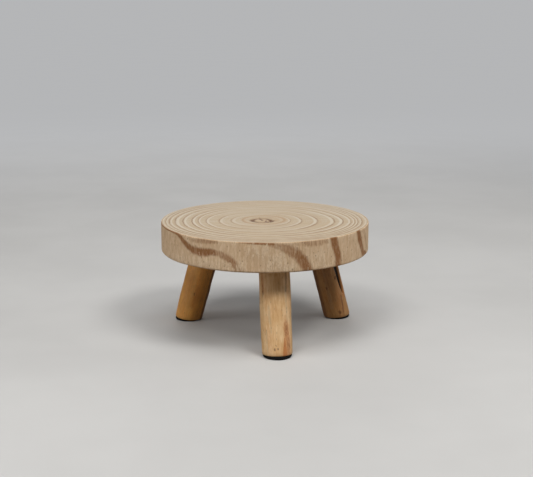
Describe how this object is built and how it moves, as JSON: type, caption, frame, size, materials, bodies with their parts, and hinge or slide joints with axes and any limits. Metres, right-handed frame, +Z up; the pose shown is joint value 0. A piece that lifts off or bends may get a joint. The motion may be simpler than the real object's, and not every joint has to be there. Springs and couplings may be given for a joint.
{
  "type": "cake stand",
  "caption": "Low round wood-slice cake stand: a thick disc of pale wood with growth rings on splayed branch legs with soft foot pads.",
  "frame": {"origin": "on the floor, straight under the centre of the round slab", "axes": "+Z up through the slab's centre; the front leg stands towards -Y, the other two at the back to the right (+X) and left"},
  "size_m": [0.2, 0.2, 0.11],
  "materials": {
    "slab_wood": "matte",
    "pale_branch_wood": "matte",
    "brown_branch_wood": "matte",
    "dowel_wood": "matte",
    "pad_rubber": "matte"
  },
  "bodies": {
    "root": {"top_slab": "slab_wood", "leg_front": "pale_branch_wood", "leg_right": "brown_branch_wood", "leg_left": "brown_branch_wood", "dowel_front": "dowel_wood", "dowel_right": "dowel_wood", "dowel_left": "dowel_wood", "foot_pad_front": "pad_rubber", "foot_pad_right": "pad_rubber", "foot_pad_left": "pad_rubber"}
  },
  "joints": []
}
